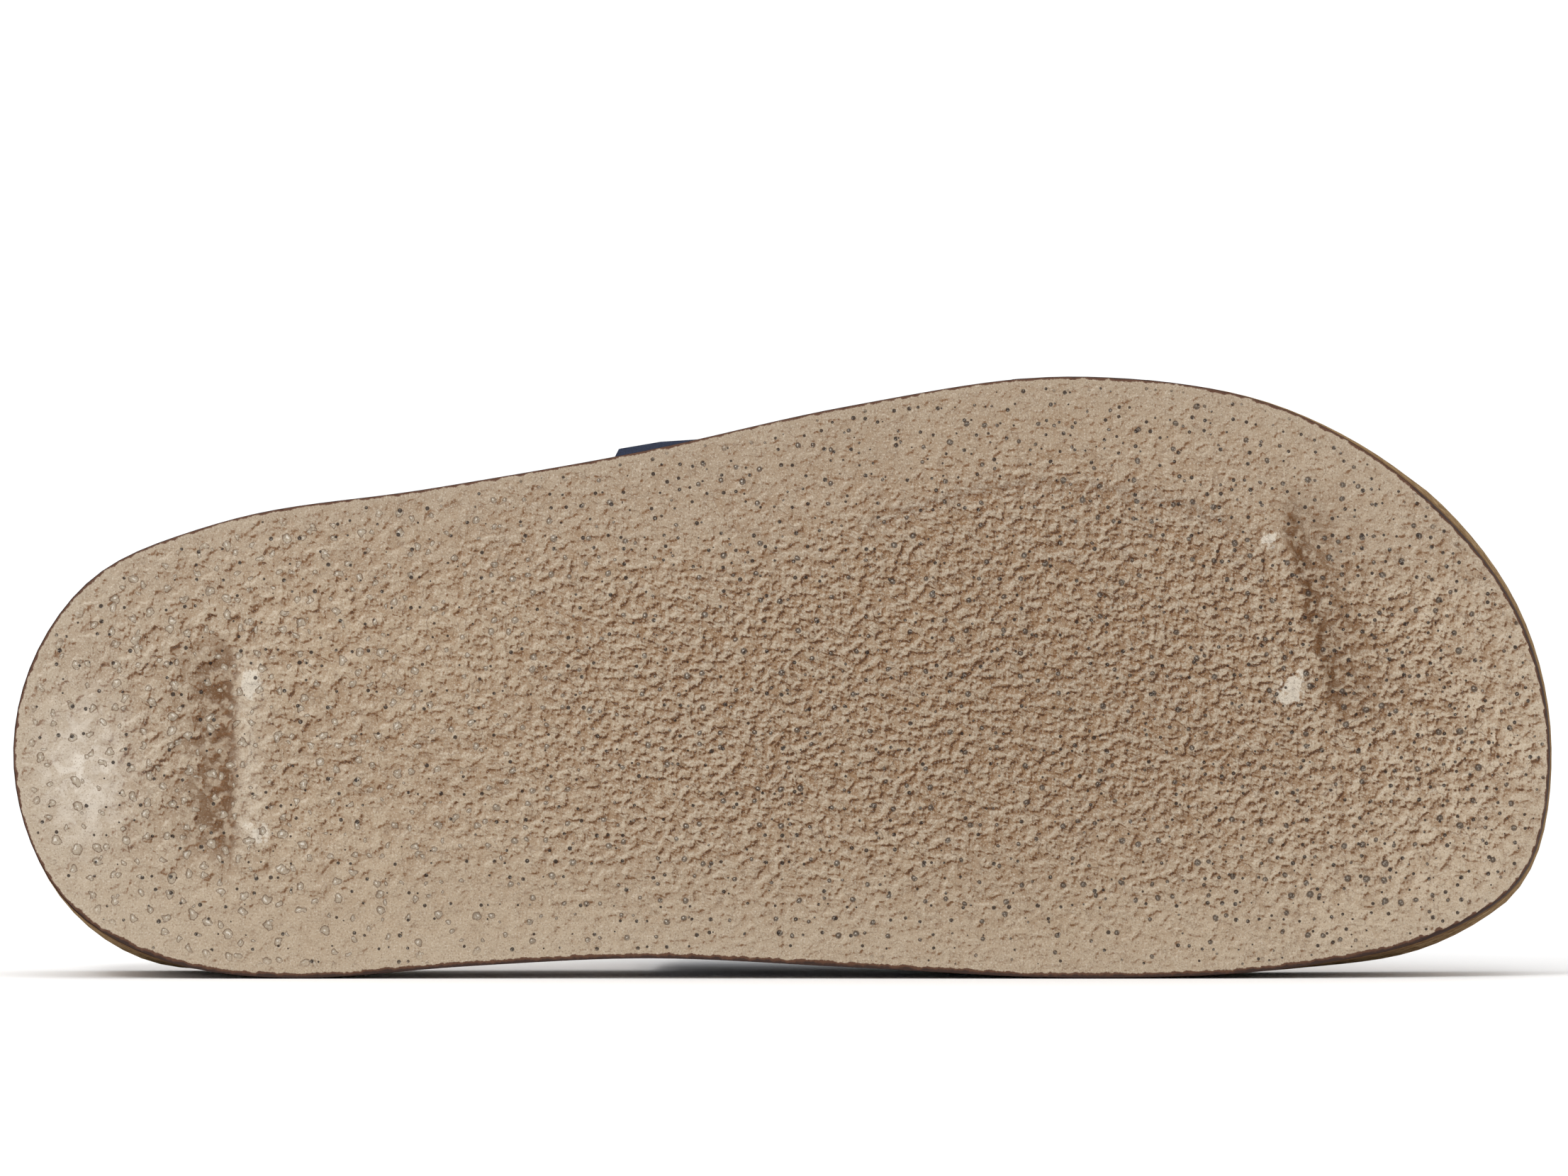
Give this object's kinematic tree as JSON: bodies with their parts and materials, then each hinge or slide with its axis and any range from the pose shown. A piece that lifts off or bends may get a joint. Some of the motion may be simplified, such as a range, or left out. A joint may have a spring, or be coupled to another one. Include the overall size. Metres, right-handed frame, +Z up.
{
  "type": "double-buckle slide sandal",
  "caption": "Right double-buckle slide sandal lying on its inner side: contoured cork footbed, pale foam-rubber outsole, dark blue leather straps with wire buckles.",
  "frame": {"origin": "middle of the box round the sandal, on the floor it lies on", "axes": "+X from heel to toe, -Y the way the sole faces, +Z up from the floor, towards the sandal's outer side"},
  "size_m": [0.2772, 0.091, 0.1068],
  "materials": {
    "sole_rubber": "matt, worn",
    "footbed_cork": "matt",
    "insole_suede": "suede",
    "strap_leather": "satin",
    "buckle_metal": "satin"
  },
  "bodies": {
    "root": {"outsole": "sole_rubber", "footbed": "footbed_cork", "insole": "insole_suede", "upper_medial": "strap_leather", "upper_lateral": "strap_leather", "buckle_rear_frame": "buckle_metal", "buckle_rear_prong": "buckle_metal", "buckle_front_frame": "buckle_metal", "buckle_front_prong": "buckle_metal"}
  },
  "joints": []
}
